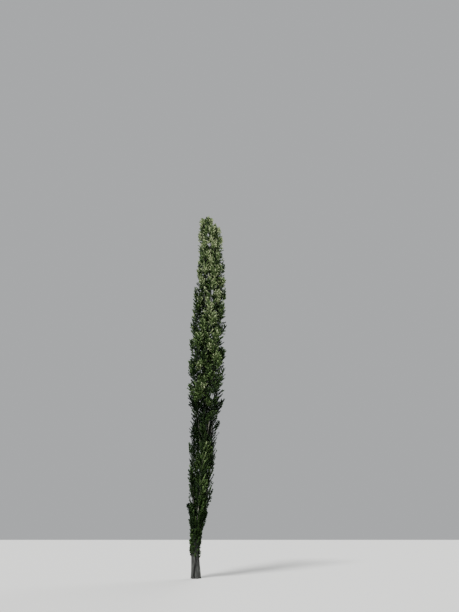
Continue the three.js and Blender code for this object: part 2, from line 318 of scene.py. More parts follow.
# Painted shade on the crown's two flanks, at the heights where it applies
FLANK_PAINTED_SHADE = 2.6
FLANK_HEIGHTS = (3.0, 8.0, 17.0, 24.0)
FLANK_SHARES = (0, 1, 1, 0)
TWIGLET_SCATTER = 3.2
TWIG_SCATTER = 3.4
SPRAY_SCATTER = 1.8
# Painted light on the outer sprays, painted shade on side twigs and on twigs in the crown's heart
SPRAY_PAINTED_LIGHT = 0.4
SIDE_TWIG_PAINTED_SHADE = -0.95
INNER_TWIG_PAINTED_SHADE = -1.7
# Painted shade at a twig's root and painted light at its tip, in tints
TINTS_ALONG_TWIG = np.array((-1.5, 0.0, 1.2))

# The pieces that the leaves are divided into, with the tiers in each, and their leaves' sizes
LEAF_PIECES = {
    "low": ("shoot", "low"),
    "waist": ("waist",),
    "middle": ("middle",),
    "high": ("high",),
    "top": ("top", "leader"),
}
PIECE_OF_TIER = {tier: piece for piece, tiers in LEAF_PIECES.items() for tier in tiers}
LEAF_SIZES = (0.785, 0.985, 1.0, 1.0, 1.0)

# The trunk's rings of bark, close together near the ground, and its fissures. Their waves are a
# size, a step up, a step round and a start, and their climbs are how each set winds up the trunk.
BARK_SIDES = 168
CLOSE_RINGS = 150
CLOSE_RINGS_TO = 3.2
WIDE_RINGS = 71
WIDE_RING_POWER = 1.15
FISSURE_WAVES = ((0.9, 1.7, 2, 0.0), (0.6, 4.3, 3, 1.3))
FISSURE_CLIMBS = (5.2, -4.4)
FISSURE_CROSSING = 2.1
FISSURE_CROSSING_WANDER = 1.4
FISSURE_WIDTH = 0.42
FISSURE_POWER = 1.4
FISSURE_BREAKS = 0.25
FISSURE_BREAKS_UP = 9.1
FISSURE_BREAKS_ROUND = 5
FISSURES_LEFT_HIGH = 0.3
FISSURE_FADE_HEIGHT = 6.0

# A bough's rings, and the knobs where old twigs stood
BOUGH_SIDES = 10
BOUGH_RINGS = 22
KNOB_DEPTH = 0.07
KNOBS_ROUND = 3
KNOBS_ALONG = 17

# A leaf's shape, as shares of its half width or its length, and how freely each one hangs
LEAF_FOLD = 0.22
LEAF_BROADEST = 0.36
LEAF_RIB = 0.45
LEAF_DROOP = 0.12
LEAF_LEAN_SPREAD = 0.35
LEAF_TWIST_SPREAD = 0.9
LEAF_SIZE_RANGE = (0.72, 1.12)

# How many sides bare stems and leafy twigs have
STEM_SIDES = 6
TWIG_SIDES = 3

# Materials: the relief's strength, plain bark's darker grain, and the leaves' flecks
BUMP_STRENGTH = 0.6
PLAIN_FISSURE_SHADE = 0.35
PLAIN_FISSURE_DEPTH = 0.15
LEAF_FLECKS = 0.35

# Light: each lamp's name, share of the key light, turn, height and width, in degrees
SKY_COLOUR = (0.86, 0.88, 0.9, 1)
LAMPS = (("key", 1.0, -35, 58, 12), ("rim", 0.45, 150, 50, 40))

# The photograph's longer side and the focal length that its perspective gives, in pixels, and
# the camera's sensor in millimetres and its furthest view in metres
PHOTO_LONG_SIDE = 612
PHOTO_FOCAL = 290
SENSOR_WIDTH = 36.0
VIEW_DISTANCE = 500

# The seeded generator's largest whole number, and how far it and the even spread step each time
LARGEST_SEED = 0xFFFFFFFF
SEED_ADVANCE = 0x6D2B79F5
INDEX_STEP = 0.618034
SALT_STEP = 0.754878

# Sockets that share their names with others on the same node, so their numbers choose them
MIX_SHARE, MIX_FIRST, MIX_SECOND, MIX_RESULT = 0, 6, 7, 2
RANDOM_LOW, RANDOM_HIGH, RANDOM_RESULT = 2, 3, 1
COMPARE_FIRST, COMPARE_SECOND = 2, 3

# How many points along a route measure its length
ROUTE_SAMPLES = 201

UP = np.array((0.0, 0.0, 1.0))


def unit(vector):
    return vector / np.linalg.norm(vector)


def seeded_numbers(seed):
    """The part's own seeded numbers from 0 to 1, the same on every run."""
    state = seed & LARGEST_SEED
    while True:
        state = (state + SEED_ADVANCE) & LARGEST_SEED
        stirred = ((state ^ (state >> 15)) * (1 | state)) & LARGEST_SEED
        step = ((stirred ^ (stirred >> 7)) * (61 | stirred)) & LARGEST_SEED
        stirred = ((stirred + step) & LARGEST_SEED) ^ stirred
        yield (stirred ^ (stirred >> 14)) / (LARGEST_SEED + 1)


def spread(index, salt):
    """An even spread of numbers from -0.5 to 0.5, one for each whole number."""
    return (index * INDEX_STEP + salt * SALT_STEP) % 1 - 0.5


def crown_radius(height):
    return np.interp(height, CROWN_HEIGHTS, CROWN_RADII)


def fullness(height):
    """Cores, twigs and sprays are slimmer where the crown is narrow."""
    return (crown_radius(height) / CROWN_WIDEST) ** SLIMMING_POWER


def trunk_axis(height):
    """The middle of the trunk, or of the crown above it, at a height or at each of several."""
    height = np.asarray(height, float)
    share = height / TREE_HEIGHT
    sway = SWAY_REACH * np.sin(share * SWAY_TURNS * 2 * math.pi)
    low = height / FOOT_BEND_HEIGHT
    bend = FOOT_BEND * (low * np.exp(1 - low)) ** 2
    across = LEAN_AT_TOP * share**LEAN_POWER + sway + bend
    return np.stack((across, sway * SWAY_DEPTH_SHARE, height), axis=-1)


def trunk_radius(height, turn=None):
    taper = np.clip(1 - height / TRUNK_TOP, 0, None) ** TRUNK_TAPER_POWER
    flare = FLARE_RADIUS * np.exp(-height / FLARE_HEIGHT)
    radius = TRUNK_TIP_RADIUS + (TRUNK_RADIUS - TRUNK_TIP_RADIUS) * taper + flare
    if turn is None:
        return radius
    flutes = FLUTE_DEPTH * np.exp(-height / FLUTE_HEIGHT) * np.cos(FLUTE_COUNT * turn + FLUTE_TURN)
    return radius * (1 + flutes)


def outwards(turn):
    return np.array((math.cos(turn), CROWN_DEPTH_SHARE * math.sin(turn), 0.0))


def leaning(turn, slant):
    """The direction that leans out from upright by a slant, towards a turn."""
    return np.array(
        (math.cos(turn) * math.sin(slant), math.sin(turn) * math.sin(slant), math.cos(slant))
    )


def turned(vector, axis, angle):
    """A vector turned about an axis."""
    along = axis * np.dot(axis, vector)
    return along + (vector - along) * math.cos(angle) + np.cross(axis, vector) * math.sin(angle)


class Route:
    """A limb's middle line, a cubic curve with four control points."""

    def __init__(self, *points):
        self.points = np.array(points, float)

    def at(self, share):
        share = np.asarray(share, float)[..., None]
        rest = 1 - share
        first, second, third, last = self.points
        outer = rest**3 * first + share**3 * last
        return outer + 3 * rest**2 * share * second + 3 * rest * share**2 * third

    def heading(self, share):
        first, second, third, last = self.points
        rest = 1 - share
        outer = rest**2 * (second - first) + share**2 * (last - third)
        return unit(outer + 2 * rest * share * (third - second))

    def length(self):
        points = self.at(np.linspace(0, 1, ROUTE_SAMPLES))
        return np.linalg.norm(np.diff(points, axis=0), axis=1).sum()


@dataclass(eq=False)
class Plume:
    """A plume of foliage: its name, its tier, its stem's route and what its bough needs."""

    name: str
    tier: str
    index: int
    route: Route
    turn: float = 0.0
    foot: float = 0.0
    rise: float = 0.0


def tier_plumes(level, tier):
    name, count, tier_foot, tier_top, rise = tier
    plumes = []
    for place in range(count):
        index = level * count + place
        even_turn = FIRST_TURN + (level % 2) * TIER_TURN + place / count * 2 * math.pi
        turn = even_turn + TURN_JITTER * spread(index, 1)
        foot = tier_foot + FOOT_JITTER * spread(index, 2)
        at_top = name == "top"
        top = tier_top - (TOP_SLOPE * math.cos(turn) if at_top else TOP_JITTER * spread(index, 3))
        shares = (
            (0, PLUME_FOOT_SHARE),
            (PLUME_BOW_HEIGHTS[0], PLUME_BOW_SHARE),
            (PLUME_BOW_HEIGHTS[1], PLUME_BOW_SHARE),
            (1, TOP_TIER_TIP_SHARE if at_top else PLUME_TOP_SHARE),
        )
        points = []
        for share, apart in shares:
            height = foot + (top - foot) * share
            points.append(trunk_axis(height) + outwards(turn) * apart * crown_radius(height))
        plumes.append(Plume(f"{name}_{place + 1}", name, index, Route(*points), turn, foot, rise))
    return plumes


def trunk_shoots():
    plumes = []
    for place in range(SHOOT_COUNT):
        turn = place / SHOOT_COUNT * 2 * math.pi
        foot = SHOOT_FOOT + SHOOT_FOOT_STEP * place
        top = SHOOT_TOP + SHOOT_FOOT_STEP * place
        heights = (foot, foot + SHOOT_BEND, (foot + top) / 2, top)
        shares = (0, SHOOT_BOW, 1, SHOOT_BOW)
        points = [
            trunk_axis(height) + outwards(turn) * share * SHOOT_REACH
            for height, share in zip(heights, shares)
        ]
        index = SHOOTS_INDEX + place
        plumes.append(Plume(f"shoot_{place + 1}", "shoot", index, Route(*points)))
    return plumes


def crown_leader():
    spray = SPRAY_LENGTH * fullness(TREE_HEIGHT - SPRAY_LENGTH)
    top = TREE_HEIGHT - spray + TIP_SINK
    heights = TRUNK_TOP + (top - TRUNK_TOP) * np.array((0, 1 / 3, 2 / 3, 1))
    return Plume("leader", "leader", LEADER_INDEX, Route(*trunk_axis(heights)))


def bough_route(plume):
    """A bough leaves the trunk at a slant and sweeps up to the foot of its plume."""
    root = trunk_axis(plume.foot - plume.rise)
    end = plume.route.at(0)
    reach = math.hypot(end[0] - root[0], end[1] - root[1])
    leave = root + outwards(plume.turn) * BOUGH_LEAVING_REACH * reach
    leave = leave + UP * BOUGH_LEAVING_RISE * plume.rise
    arrive = end - plume.route.heading(0.0) * BOUGH_ARRIVING * plume.rise
    return Route(root, leave, arrive, end)


class Crown:
    """All the plumes, with each one's own space among them."""

    def __init__(self):
        tiers = [plume for level, tier in enumerate(TIERS) for plume in tier_plumes(level, tier)]
        self.tiers = tiers
        self.plumes = [*trunk_shoots(), *tiers, crown_leader()]
        shares = np.linspace(0, 1, STEM_PIECES + 1)
        stems = np.array([plume.route.at(shares) for plume in self.plumes])
        self.starts = stems[:, :-1]
        self.spans = np.diff(stems, axis=1)
        self.bough_points = np.concatenate(
            [bough_route(plume).at(BOUGH_TEST_SHARES) for plume in tiers]
        )

    def distances(self, points):
        """How far each point lies from each plume's stem."""
        apart = points[:, None, None, :] - self.starts
        share = (apart * self.spans).sum(-1) / (self.spans**2).sum(-1)
        nearest = apart - np.clip(share, 0, 1)[..., None] * self.spans
        return np.sqrt((nearest**2).sum(-1)).min(-1)

    def apart_share(self, points):
        """How far out each point lies, as a share of the crown's radius at its height."""
        middle = trunk_axis(points[:, 2])
        across = points[:, 0] - middle[:, 0]
        deep = (points[:, 1] - middle[:, 1]) / CROWN_DEPTH_SHARE
        return np.hypot(across, deep) / crown_radius(points[:, 2])

    def in_crown(self, points):
        apart = points - trunk_axis(points[:, 2])
        highest = np.interp(apart[:, 0], CROWN_TOP_ACROSS, CROWN_TOP_HEIGHTS)
        below_top = points[:, 2] <= highest - apart[:, 1] ** 2 / CROWN_TOP_ROUND + CROWN_TOP_SLACK
        above_foot = points[:, 2] >= CROWN_HEIGHTS[0]
        return below_top & above_foot & (self.apart_share(points) <= 1)

    def holds_twigs(self, points):
        """Whether each point of a twig is in the crown or hangs just under it, in the model's box."""
        in_box = (points >= np.array(CAD_LOW)) & (points <= np.array(CAD_HIGH))
        hanging = (points[:, 2] > LEAVES_HANG_TO) & (points[:, 2] < CROWN_HEIGHTS[0])
        raised = points + UP * (CROWN_HEIGHTS[0] - points[:, 2:]) * hanging[:, None]
        return self.in_crown(raised) & in_box.all(1)

    def in_space(self, points, plume, margin=SPACE_MARGIN):
        """Whether each point is in the crown and nearer to this plume's stem than to any other."""
        place = self.plumes.index(plume)
        distances = self.distances(points)
        own = distances[:, place].copy()
        distances[:, place] = np.inf
        return self.in_crown(points) & (distances.min(1) > own + margin)

    def clear_of_limbs(self, points):
        middle = trunk_axis(points[:, 2])
        apart = np.hypot(points[:, 0] - middle[:, 0], points[:, 1] - middle[:, 1])
        trunk_clear = apart > np.where(points[:, 2] < TRUNK_TOP, trunk_radius(points[:, 2]), 0)
        boughs = np.linalg.norm(points[:, None] - self.bough_points, axis=-1).min(1)
        return trunk_clear & (boughs > BOUGH_TIP_RADIUS)

    def core_reach(self, plume, share):
        """How far the close leaves round a stem reach, short of the next stem's."""
        point = plume.route.at(share)
        distances = self.distances(point[None])[0]
        distances[self.plumes.index(plume)] = np.inf
        room = distances.min() / 2 - SPACE_MARGIN
        swell = max(0.0, math.sin(math.pi * share)) ** CORE_SWELL_POWER
        full = CORE_RADIUS * fullness(point[2]) * swell
        return max(0.0, min(full, room / (1 + CORE_LUMP) - BOUGH_TIP_RADIUS))


@dataclass
class Spray:
    """A spray of leaves, from its root along its axis, at a size that is 1 for the largest."""

    plume: Plume
    root: np.ndarray
    ahead: np.ndarray
    broad: np.ndarray
    size: float

    @property
    def length(self):
        return SPRAY_LENGTH * self.size

    def corners(self):
        middle = self.root + self.ahead * SPRAY_BROADEST * self.length
        side = self.broad * (SPRAY_WIDTH * self.size) / 2
        return np.array(
            (self.root, self.root + self.ahead * self.length, middle + side, middle - side)
        )

    def axis_points(self):
        return self.root + SPRAY_TEST_SHARES[:, None] * self.ahead * self.length


def fitting_spray(crown, plume, root, turn, slants, roll):
    """The largest and widest leaning spray that fits in its plume's space, or None."""
    for share in SPRAY_SIZES:
        for slant in slants:
            ahead = leaning(turn, slant)
            level = np.array((-math.sin(turn), math.cos(turn), 0.0))
            broad = turned(level, ahead, roll)
            spray = Spray(plume, root, ahead, broad, share * fullness(root[2]))
            fits = crown.in_space(spray.corners(), plume).all()
            if fits and crown.clear_of_limbs(spray.axis_points()).all():
                return spray
    return None


class Growth:
    """The twigs and sprays that a plume grows, by the part's own rule and random numbers."""

    def __init__(self, crown, plume):
        self.crown = crown
        self.plume = plume
        self.numbers = seeded_numbers(SEED_START + SEED_STEP * plume.index)
        self.twigs = []
        self.sprays = []
        self.grow_twigs()
        self.grow_top()

    def jitter(self, size):
        return size * (2 * next(self.numbers) - 1)

    def keep(self, spray):
        if spray is not None:
            self.sprays.append(spray)

    def grow_twigs(self):
        plume, crown = self.plume, self.crown
        count = round(plume.route.length() * TWIGS_PER_METRE)
        for i in range(count):
            share = (i + FIRST_TWIG_SHARE) / count
            turn = i * GOLDEN_TURN + plume.index + self.jitter(TWIG_TURN_JITTER)
            slant = TWIG_SLANT + self.jitter(TWIG_SLANT_JITTER)
            root = plume.route.at(share)
            beyond = TWIG_REACH * fullness(root[2])
            reach = (crown.core_reach(plume, share) + beyond) / math.sin(slant)
            tip = root + leaning(turn, slant) * reach
            rolls = [self.jitter(SPRAY_ROLL_JITTER) for _ in SPRAY_TURNS]
            clear = crown.clear_of_limbs(np.array((tip, (root + tip) / 2))).all()
            if not crown.in_space(tip[None], plume)[0] or not clear:
                continue
            self.twigs.append((root, tip))
            for angle, along, roll in zip(SPRAY_TURNS, SPRAY_ROOTS, rolls):
                start = root + (tip - root) * along
                self.keep(fitting_spray(crown, plume, start, turn + angle, SPRAY_SLANTS, roll))

    def grow_top(self):
        tip = self.plume.route.at(1)
        for i, slant in enumerate(TOP_SLANTS):
            turn = i * TOP_TURN + self.plume.index + self.jitter(TWIG_TURN_JITTER)
            start = tip - UP * TIP_SINK * TIP_SINK_STEPS[i]
            roll = self.jitter(SPRAY_ROLL_JITTER)
            self.keep(fitting_spray(self.crown, self.plume, start, turn, (slant,), roll))


def in_opening(points):
    """Whether any of the points lies where the crown is open."""
    apart = points - EYE
    share = -EYE[1] / apart[:, 1]
    height = EYE[2] + share * apart[:, 2]
    across = EYE[0] + share * apart[:, 0] + OPENING_WANDER * np.sin(OPENING_WAVES * height)
    for middle, level, half_width, half_height, back in OPENINGS:
        aside = (across - middle) / half_width
        above = (height - level) / half_height
        if ((np.hypot(aside, above) < 1) & (points[:, 1] < back)).any():
            return True
    return False


class Lines:
    """Many thin curved lines, each with a thickness, a leaf size and a tint at its points."""

    def __init__(self, leaf_size=0.0):
        self.leaf_size = leaf_size
        self.points = []
        self.edges = []
        self.values = []
        self.count = 0

    def add(self, points, thickness, tint=0.0, leaf_share=1.0):
        """Keeps a line, unless it is a leafy one in an opening."""
        points = np.asarray(points, float)
        if self.leaf_size and in_opening(np.concatenate((points, (points[:-1] + points[1:]) / 2))):
            return
        number = len(points)
        first = self.count + np.arange(number - 1)
        values = (thickness, self.leaf_size * leaf_share, tint)
        columns = [np.broadcast_to(value, (number,)) for value in values]
        self.points.append(points)
        self.edges.append(np.stack((first, first + 1), axis=1))
        self.values.append(np.stack(columns, axis=1))
        self.count += number

    def mesh(self, name):
        """The lines as a mesh of edges, with their values as attributes of its points."""
        points, edges, values = map(np.concatenate, (self.points, self.edges, self.values))
        thickness, leaf_size, tint = values.T
        mesh = bpy.data.meshes.new(name)
        mesh.vertices.add(len(points))
        mesh.vertices.foreach_set("co", points.astype(np.float32).ravel())
        mesh.edges.add(len(edges))
        mesh.edges.foreach_set("vertices", edges.astype(np.int32).ravel())
        tint = np.clip(np.round(tint), 0, TINT_COUNT - 1)
        for attribute, kind, column in (
            ("thickness", "FLOAT", thickness.astype(np.float32)),
            ("leaf_size", "FLOAT", leaf_size.astype(np.float32)),
            ("tint", "INT", tint.astype(np.int32)),
        ):
            mesh.attributes.new(attribute, kind, "POINT").data.foreach_set("value", column)
        mesh.update()
        return mesh


def at_height(height, heights, values):
    """The value at a height, between those given at some heights."""
    return float(np.interp(height, heights, values))


def tuft_places():
    """The middles of the tufts and hollows, a little behind the crown's front, and their sizes."""
    across, heights, half_widths, half_heights, tints = np.array(TUFTS).T
    middle = trunk_axis(heights)
    radius = TUFT_SETBACK * crown_radius(heights)
    ahead = np.sqrt(np.clip(radius**2 - (across - middle[:, 0]) ** 2, 0, None))
    front = middle[:, 1] - CROWN_DEPTH_SHARE * ahead
    half_depths = np.full(len(TUFTS), TUFT_HALF_DEPTH)
    middles = np.stack((across, front, heights), axis=1)
    return middles, np.stack((half_widths, half_depths, half_heights), axis=1), tints


TUFT_PLACES = tuft_places()


def tuft_lift(point):
    """Painted light and shade: how many tints lighter or darker the crown is at a point."""
    middles, sizes, tints = TUFT_PLACES
    apart = (((point - middles) / sizes) ** 2).sum(1)
    return float((tints * np.clip(TUFT_FULLNESS * (1 - apart), 0, 1)).sum())


def flank_shade(point):
    """Painted shade: how many tints darker the leaves are towards the crown's two flanks."""
    aside = abs(point[0] - trunk_axis(point[2])[0]) / crown_radius(point[2])
    return FLANK_PAINTED_SHADE * aside**2 * at_height(point[2], FLANK_HEIGHTS, FLANK_SHARES)


def liveliness(point):
    """How far the tints vary at a point's height."""
    return at_height(point[2], LIVELY_HEIGHTS, LIVELINESS)


def tint_of(crown, index, point, scatter, painted_light_by_depth):
    """Which tint a spray takes: painted shade deep inside and below, painted light outside, above and
    in tufts.
    """
    outer = float(crown.apart_share(point[None])[0])
    by_height = at_height(point[2], TINT_HEIGHTS, TINTS_AT_HEIGHTS)
    waves = math.sin(TINT_WAVES_UP * point[2] + TINT_WAVE_STEP * index)
    streaked = TINT_STREAKS * at_height(point[2], STREAK_HEIGHTS, STREAK_SHARES)
    streak = streaked * math.sin(STREAKS_ROUND * math.atan2(point[1], point[0]) + point[2])
    varied = TINT_OUTWARDS * (outer - TINT_OUTWARDS_FROM) + TINT_WAVES * waves + scatter + painted_light_by_depth
    # Painted light in sunlit tufts, painted shade in hollows and on the crown's flanks
    painted_sun_and_shade = tuft_lift(point) - flank_shade(point)
    return by_height + varied * liveliness(point) + streak + painted_sun_and_shade


def around_zero(numbers, size):
    """A random number from half the size below zero to half of it above."""
    return size * (next(numbers) - 0.5)


def spray_twiglets(crown, spray, numbers, lines, tint):
    """The finer twigs that stand for a spray, round its axis by the golden angle."""
    tip = spray.root + spray.ahead * spray.length
    middle = (spray.root + tip) / 2 - UP * SPRAY_SAG * spray.length
    lines.add((spray.root, middle, tip), SPRAY_RADII, tint)
    flatways = np.cross(spray.broad, spray.ahead)
    first_turn = TWIGLET_FIRST_TURNS * next(numbers)
    for i in range(TWIGLETS_PER_SPRAY):
        step = (i + TWIGLET_STEP_SPREAD * next(numbers)) / TWIGLETS_PER_SPRAY
        share = TWIGLETS_FROM + TWIGLETS_ALONG * step
        turn = first_turn + i * GOLDEN_TURN
        radial = spray.broad * math.cos(turn) + flatways * SPRAY_FLATNESS * math.sin(turn)
        even_slant = TWIGLET_SLANT - TWIGLET_SLANT_FALL * share
        slant = even_slant + around_zero(numbers, TWIGLET_SLANT_SPREAD)
        swell_share = TWIGLET_SWELL_FROM + TWIGLET_SWELL_ALONG * share
        swell = math.sin(math.pi * swell_share) ** TWIGLET_SWELL_POWER
        varied_length = TWIGLET_SHORTEST + TWIGLET_LENGTH_SPREAD * next(numbers)
        reach = TWIGLET_REACH * spray.length * swell * varied_length
        root = spray.root + spray.ahead * spray.length * share
        ahead = spray.ahead * math.cos(slant) + radial * math.sin(slant)
        end = root + ahead * reach + UP * TWIGLET_RISE * reach
        if not crown.holds_twigs(end[None])[0]:
            continue
        middle = (root + end) / 2 + (radial - UP * TWIGLET_SAG) * TWIGLET_BOW * reach
        varied = TINTS_ALONG_TWIG + around_zero(numbers, TWIGLET_SCATTER)
        lines.add((root, middle, end), TWIGLET_RADII, tint + varied * liveliness(end))


def leafy_twigs(crown, roots, index, reach, free, numbers, lines, painted_light_by_depth, leaf_share=1.0):
    """Leafy twigs from roots along a limb, each as long as the free space ahead of it allows."""
    count = len(roots)
    turns = np.arange(count) * GOLDEN_TURN + index
    even_slants = np.interp(roots[:, 2], TWIG_SLANT_HEIGHTS, TWIG_SLANTS_AT_HEIGHTS)
    slants = [slant + around_zero(numbers, LEAFY_TWIG_SLANT_SPREAD) for slant in even_slants]
    ahead = np.array([leaning(turn, slant) for turn, slant in zip(turns, slants)])
    steps = reach * np.arange(1, SIDE_TWIG_TESTS + 1) / SIDE_TWIG_TESTS
    points = (roots[:, None] + steps[None, :, None] * ahead[:, None]).reshape(-1, 3)
    is_open = free(points) & crown.holds_twigs(points)
    open_steps = np.cumprod(is_open.reshape(count, -1), axis=1).sum(1)
    for root, heading, free_steps in zip(roots, ahead, open_steps):
        varied_length = LEAFY_TWIG_SHORTEST + LEAFY_TWIG_LENGTH_SPREAD * next(numbers)
        length = steps[0] * free_steps * varied_length
        scatter = around_zero(numbers, TWIG_SCATTER)
        if length < SIDE_TWIG_SHORTEST:
            continue
        end = root + heading * length
        middle = (root + end) / 2 - UP * LEAFY_TWIG_SAG * length
        tints = tint_of(crown, index, end, scatter, painted_light_by_depth) + TINTS_ALONG_TWIG * liveliness(end)
        lines.add((root, middle, end), LEAFY_TWIG_RADII, tints, leaf_share)


def tuft_sprays(crown, leafy):
    """Sprays from the nearest stem that fill each sunlit tuft out to the crown's front."""
    plumes = [plume for plume in crown.plumes if plume.tier != "shoot"]
    stems = np.array([plume.route.at(TUFT_ROOT_SHARES) for plume in plumes])
    for number, (middle, size, tints) in enumerate(zip(*TUFT_PLACES)):
        if tints < 0:
            continue
        apart = np.linalg.norm(stems - (middle - UP * TUFT_ROOT_DROP), axis=-1)
        place, step = np.unravel_index(apart.argmin(), apart.shape)
        plume, root = plumes[place], stems[place, step]
        numbers = seeded_numbers(TUFT_SEED_START + number)
        for _ in range(TUFT_SPRAYS):
            shift = TUFT_SPREAD * size * [2 * next(numbers) - 1 for _ in size]
            end = middle + (shift[0], abs(shift[1]), shift[2])
            ahead = unit(end - root)
            broad = turned(unit(np.cross(ahead, UP)), ahead, next(numbers))
            length = float(np.linalg.norm(end - root))
            spray = Spray(plume, root, ahead, broad, length / SPRAY_LENGTH)
            tinted_spray(crown, spray, end, numbers, leafy)


def tinted_spray(crown, spray, point, numbers, leafy):
    """A spray's twiglets in its tier's piece, in the tint of a point in it."""
    scatter = around_zero(numbers, SPRAY_SCATTER)
    tint = tint_of(crown, spray.plume.index, point, scatter, SPRAY_PAINTED_LIGHT)
    spray_twiglets(crown, spray, numbers, leafy[PIECE_OF_TIER[spray.plume.tier]], tint)


def side_twigs(crown, plume, numbers, lines):
    """Leafy twigs all along a plume's stem, within its own space."""
    step, reach, crossing = SIDE_TWIG_STEP, SIDE_TWIG_REACH, SIDE_TWIG_CROSSING
    if plume.tier == "leader":
        step, reach, crossing = LEADER_TWIG_STEP, LEADER_TWIG_REACH, LEADER_TWIG_CROSSING
    count = max(1, round(plume.route.length() / (step * lines.leaf_size)))
    roots = plume.route.at((np.arange(count) + 0.5) / count)

    def free(points):
        return crown.in_space(points, plume, -crossing) & crown.clear_of_limbs(points)

    leafy_twigs(crown, roots, plume.index, reach, free, numbers, lines, SIDE_TWIG_PAINTED_SHADE)


def inner_twigs(crown, roots, index, numbers, lines, reach=INNER_TWIG_REACH):
    """Leafy twigs from the trunk and boughs, in the heart of the crown, dark as painted shade."""
    painted_light_by_depth, share = INNER_TWIG_PAINTED_SHADE, INNER_LEAF_SIZE
    leafy_twigs(crown, roots, index, reach, crown.clear_of_limbs, numbers, lines, painted_light_by_depth, share)


def bough_twigs(crown, plume, numbers, lines):
    route = bough_route(plume)
    step = BOUGH_TWIG_STEP * lines.leaf_size
    count = round(route.length() * (1 - BOUGH_TWIGS_FROM) / step)
    roots = route.at(np.linspace(BOUGH_TWIGS_FROM, 1, count))
    inner_twigs(crown, roots, plume.index, numbers, lines)


def trunk_twigs(crown, leafy):
    """Twigs all the way up the trunk, closest at its foot, each stretch in its tier's piece."""
    shoot_heights = np.arange(TRUNK_TWIGS_FROM, SHOOT_TOP, SHOOT_TWIG_STEP)
    ends = [SHOOT_TOP, *(tier[2] for tier in TIERS[1:]), TRUNK_TOP]
    for level, (foot, top, lines) in enumerate(zip(ends, ends[1:], leafy.values())):
        heights = np.arange(foot, top, TRUNK_TWIG_STEP)
        if level == 0:
            heights = np.concatenate((shoot_heights, heights))
        turns = np.arange(len(heights)) * GOLDEN_TURN + level
        across = np.stack((np.cos(turns), np.sin(turns), 0 * turns), axis=1)
        roots = trunk_axis(heights) + trunk_radius(heights)[:, None] * across
        reach = TOP_INNER_TWIG_REACH if level >= WIDE_INNER_LEVEL else INNER_TWIG_REACH
        numbers = seeded_numbers(TRUNK_TWIG_SEED_START + level)
        inner_twigs(crown, roots, level, numbers, lines, reach)


def grown_lines(crown):
    """The bare stems and twigs, and the leafy lines of each piece of the crown."""
    bare = Lines()
    leafy = {piece: Lines(size) for piece, size in zip(LEAF_PIECES, LEAF_SIZES)}
    shares = np.linspace(0, 1, STEM_POINTS)
    for plume in crown.plumes:
        growth = Growth(crown, plume)
        lines = leafy[PIECE_OF_TIER[plume.tier]]
        numbers = seeded_numbers(SPRAY_SEED_START + SPRAY_SEED_STEP * plume.index)
        start = TRUNK_TIP_RADIUS if plume.tier == "leader" else BOUGH_TIP_RADIUS
        radii = start + (STEM_TIP_RADIUS - start) * shares**STEM_TAPER_POWER
        bare.add(plume.route.at(shares), radii)
        for root, tip in growth.twigs:
            bare.add((root, (root + tip) / 2 - UP * TWIG_SAG, tip), TWIG_RADII)
        for spray in growth.sprays:
            heart = spray.root + spray.ahead * spray.length * SPRAY_HEART
            tinted_spray(crown, spray, heart, numbers, leafy)
        side_twigs(crown, plume, numbers, lines)
        if plume in crown.tiers:
            bough_twigs(crown, plume, numbers, lines)
    trunk_twigs(crown, leafy)
    tuft_sprays(crown, leafy)
    return bare, leafy


def length_setting(name, description, default, **limits):
    """A setting for a length in metres."""
    kind = {"subtype": "DISTANCE", "unit": "LENGTH"}
    return FloatProperty(name=name, description=description, default=default, **kind, **limits)


def angle_setting(name, description, degrees):
    """A setting for an angle, whose default is given in degrees."""
    kind = {"subtype": "ANGLE", "unit": "ROTATION"}
    return FloatProperty(name=name, description=description, default=math.radians(degrees), **kind)


def count_setting(name, description, default, least=0):
    return IntProperty(name=name, description=description, default=default, min=least)


def strength_setting(name, description, default):
    return FloatProperty(name=name, description=description, default=default, min=0.0)


def colour_setting(name, description, *default):
    """A setting for a colour, as linear red, green and blue."""
    kind = {"subtype": "COLOR", "size": 3}
    return FloatVectorProperty(name=name, description=description, default=default, **kind)


class PoplarSizes(PropertyGroup):
    """Sizes of the bark's relief and of the leaves."""

    fissure_depth: length_setting(
        "Fissure depth", "How deep the bark's fissures are near the foot", 0.017, min=0.0
    )
    fissures_round: count_setting(
        "Fissures round", "How many upright fissures the bark has round the trunk", 14, least=3
    )
    leaf_length: length_setting("Leaf length", "A leaf's length, with its short stalk", 0.082, min=0.01)
    leaf_width: length_setting("Leaf width", "A leaf's width at its broadest", 0.074, min=0.01)
    leaf_spacing: length_setting(
        "Leaf spacing", "How far apart leaves stand along a twig", 0.0145, min=0.005
    )
    leaf_slant: angle_setting("Leaf slant", "How far a leaf leans out from its twig", 58)
    leaf_seed: count_setting("Leaf seed", "Seed of the leaves' own turns and sizes", 11)


